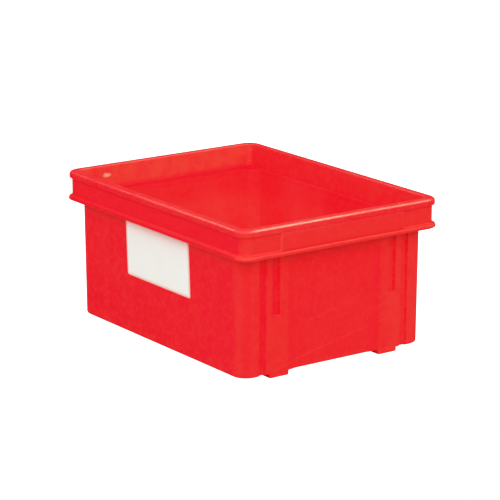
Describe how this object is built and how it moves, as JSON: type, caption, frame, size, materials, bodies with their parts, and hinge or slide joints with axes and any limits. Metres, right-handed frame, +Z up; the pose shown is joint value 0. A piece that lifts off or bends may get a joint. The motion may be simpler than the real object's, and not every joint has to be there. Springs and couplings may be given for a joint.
{
  "type": "stackable storage bin",
  "caption": "Open-top rectangular plastic bin with a double-lipped rim, an inner stacking ledge, end pilasters, low stacking feet and a blank label on one long side.",
  "frame": {"origin": "centre of the footprint, on the ground plane under the feet", "axes": "+X along the long side towards one short end, +Y along the short side away from the labelled face, +Z up"},
  "size_m": [0.4, 0.3, 0.192],
  "materials": {
    "bin_plastic": "satin moulded polypropylene with a fine grain",
    "label_white": "matt white label face, blank",
    "adhesive_film": "thin translucent adhesive film"
  },
  "bodies": {
    "root": {"bin_body": "bin_plastic", "label_face": "label_white", "label_adhesive": "adhesive_film"}
  },
  "joints": []
}
